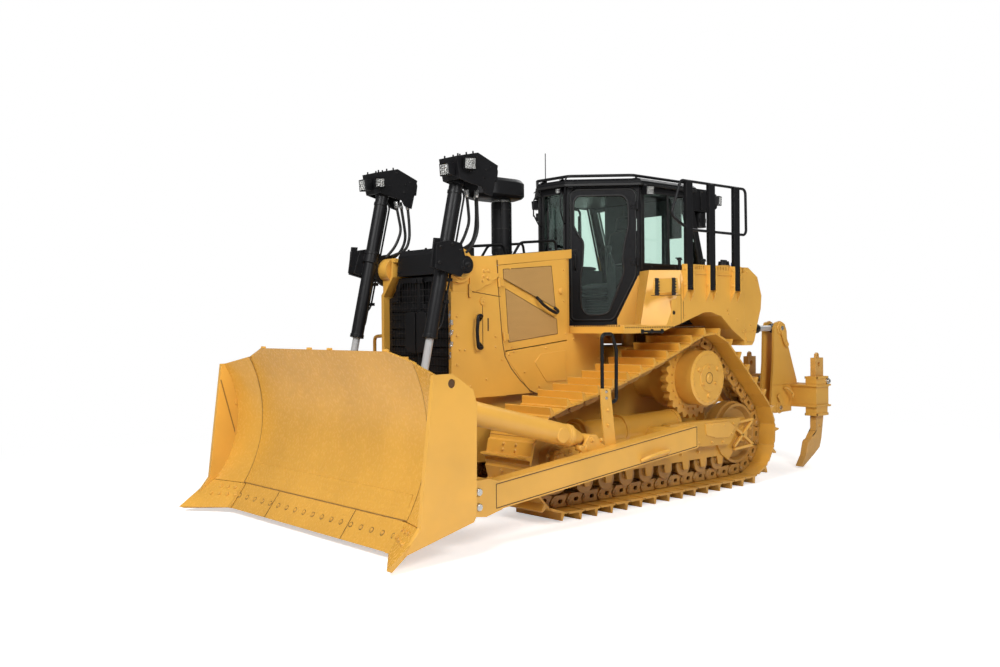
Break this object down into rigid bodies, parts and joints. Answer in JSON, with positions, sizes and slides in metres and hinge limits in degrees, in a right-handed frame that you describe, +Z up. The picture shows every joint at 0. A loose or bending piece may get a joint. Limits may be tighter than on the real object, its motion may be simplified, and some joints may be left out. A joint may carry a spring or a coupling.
{
  "type": "bulldozer",
  "caption": "Crawler bulldozer with high-drive tracks, semi-U blade on lifting push arms, closed cab and a rear multi-shank ripper.",
  "frame": {"origin": "on the ground on the middle plane, under the middle of the overall length from blade tips to ripper pockets", "axes": "+X forward towards the blade, +Y to the machine's left, +Z up"},
  "size_m": [7.436, 3.54, 3.7],
  "materials": {
    "yellow_paint": "semi-gloss",
    "black_paint": "satin",
    "track_steel": "painted, lightly worn",
    "chrome_rod": "polished",
    "tinted_glass": "clear with a green tint",
    "engine_iron": "painted",
    "seat_fabric": "woven",
    "cab_plastic": "moulded"
  },
  "bodies": {
    "tractor": {"main_frame": "yellow_paint", "engine_block": "engine_iron", "radiator_guard": "yellow_paint", "guard_top_cover": "black_paint", "radiator_core": "black_paint", "hood": "yellow_paint", "lower_panels": "yellow_paint", "air_stack": "black_paint", "cab_shell": "black_paint", "cab_glass": "tinted_glass", "cab_roof": "black_paint", "roof_rail": "black_paint", "antenna": "black_paint", "operator_seat": "seat_fabric", "consoles": "cab_plastic", "climate_box": "black_paint", "fenders": "yellow_paint", "fuel_tank": "yellow_paint", "handrails": "black_paint", "track_frames": "yellow_paint", "idlers": "track_steel", "rollers": "track_steel", "track_left": "track_steel", "track_right": "track_steel", "sprockets": "track_steel", "final_drives": "yellow_paint", "ripper_mount": "yellow_paint"},
    "blade": {"moldboard": "yellow_paint", "blade_end_plates": "yellow_paint", "cutting_edge": "track_steel", "push_arms": "yellow_paint", "arm_handles": "black_paint", "blade_braces": "yellow_paint"},
    "lift_barrel_left": {"lift_barrel_left": "black_paint", "lamp_box_left": "black_paint"},
    "lift_barrel_right": {"lift_barrel_right": "black_paint", "lamp_box_right": "black_paint"},
    "lift_rod_left": {"lift_rod_left": "chrome_rod"},
    "lift_rod_right": {"lift_rod_right": "chrome_rod"},
    "cab_door_left": {"cab_door_left": "black_paint", "cab_door_pane_left": "tinted_glass"},
    "cab_door_right": {"cab_door_right": "black_paint", "cab_door_pane_right": "tinted_glass"},
    "engine_door_left": {"engine_door_left": "yellow_paint"},
    "engine_door_right": {"engine_door_right": "yellow_paint"},
    "grille_leaf_left": {"grille_leaf_left": "black_paint"},
    "grille_leaf_right": {"grille_leaf_right": "black_paint"},
    "ripper_link": {"ripper_link": "yellow_paint"},
    "ripper_frame": {"ripper_frame": "yellow_paint", "ripper_shanks": "track_steel"},
    "ripper_tilt": {"ripper_tilt_cylinders": "yellow_paint"},
    "ripper_lift_barrel": {"ripper_lift_barrels": "yellow_paint"},
    "ripper_lift_rod": {"ripper_lift_rods": "chrome_rod"}
  },
  "joints": [
    {"name": "blade_lift", "type": "hinge", "parent": "tractor", "child": "blade", "pos_m": [-0.04, 0, 0.675], "axis": [0, -1, 0], "range_deg": [-8.5, 18.5]},
    {"name": "lift_barrel_left_swing", "type": "hinge", "parent": "tractor", "child": "lift_barrel_left", "pos_m": [2.04, 0.59, 2.37], "axis": [0, -1, 0], "range_deg": [-3.17, 6.54]},
    {"name": "lift_rod_left_slide", "type": "slide", "parent": "lift_barrel_left", "child": "lift_rod_left", "axis": [0.2204, 0, -0.9754], "range_m": [-0.8375, 0.3875]},
    {"name": "lift_barrel_right_swing", "type": "hinge", "parent": "tractor", "child": "lift_barrel_right", "pos_m": [2.04, -0.59, 2.37], "axis": [0, -1, 0], "range_deg": [-3.17, 6.54]},
    {"name": "lift_rod_right_slide", "type": "slide", "parent": "lift_barrel_right", "child": "lift_rod_right", "axis": [0.2204, 0, -0.9754], "range_m": [-0.8375, 0.3875]},
    {"name": "cab_door_left_swing", "type": "hinge", "parent": "tractor", "child": "cab_door_left", "pos_m": [-0.26691, 0.76875, 2.5], "axis": [0, 0, 1], "range_deg": [0, 90]},
    {"name": "engine_door_left_swing", "type": "hinge", "parent": "tractor", "child": "engine_door_left", "pos_m": [1.452, 0.57, 1.5], "axis": [-0.1195, 0, -0.9928], "range_deg": [0, 90]},
    {"name": "grille_leaf_left_swing", "type": "hinge", "parent": "tractor", "child": "grille_leaf_left", "pos_m": [2.045, 0.478, 1.65], "axis": [0, 0, 1], "range_deg": [0, 90]},
    {"name": "cab_door_right_swing", "type": "hinge", "parent": "tractor", "child": "cab_door_right", "pos_m": [-0.26691, -0.76875, 2.5], "axis": [0, 0, -1], "range_deg": [0, 90]},
    {"name": "engine_door_right_swing", "type": "hinge", "parent": "tractor", "child": "engine_door_right", "pos_m": [1.452, -0.57, 1.5], "axis": [0.1195, 0, 0.9928], "range_deg": [0, 90]},
    {"name": "grille_leaf_right_swing", "type": "hinge", "parent": "tractor", "child": "grille_leaf_right", "pos_m": [2.045, -0.478, 1.65], "axis": [0, 0, -1], "range_deg": [0, 90]},
    {"name": "ripper_lift", "type": "hinge", "parent": "tractor", "child": "ripper_link", "pos_m": [-2.01, 0, 0.725], "axis": [0, 1, 0], "range_deg": [-26, 26]},
    {"name": "ripper_frame_level", "type": "hinge", "parent": "ripper_link", "child": "ripper_frame", "pos_m": [-3.048, 0, 0.735], "axis": [0, 1, 0], "range_deg": [-27, 27]},
    {"name": "ripper_tilt_swing", "type": "hinge", "parent": "tractor", "child": "ripper_tilt", "pos_m": [-2.048, 0, 1.73], "axis": [0, 1, 0], "range_deg": [-27, 27]},
    {"name": "ripper_lift_barrel_swing", "type": "hinge", "parent": "tractor", "child": "ripper_lift_barrel", "pos_m": [-1.95, 0, 1.45], "axis": [0, 1, 0], "range_deg": [-13.57, 13.57]},
    {"name": "ripper_lift_rod_slide", "type": "slide", "parent": "ripper_lift_barrel", "child": "ripper_lift_rod", "axis": [-0.7666, 0, -0.6421], "range_m": [-0.2377, 0.2377]}
  ],
  "couplings": [
    {"joint": "lift_barrel_left_swing", "follows": "blade_lift", "ratio": 0.3375},
    {"joint": "lift_rod_left_slide", "follows": "blade_lift", "m_per_rad": -2.5784},
    {"joint": "lift_barrel_right_swing", "follows": "blade_lift", "ratio": 0.3375},
    {"joint": "lift_rod_right_slide", "follows": "blade_lift", "m_per_rad": -2.5784},
    {"joint": "ripper_frame_level", "follows": "ripper_lift", "ratio": -1},
    {"joint": "ripper_tilt_swing", "follows": "ripper_lift", "ratio": 1},
    {"joint": "ripper_lift_barrel_swing", "follows": "ripper_lift", "ratio": 0.5103},
    {"joint": "ripper_lift_rod_slide", "follows": "ripper_lift", "m_per_rad": -0.5128}
  ]
}
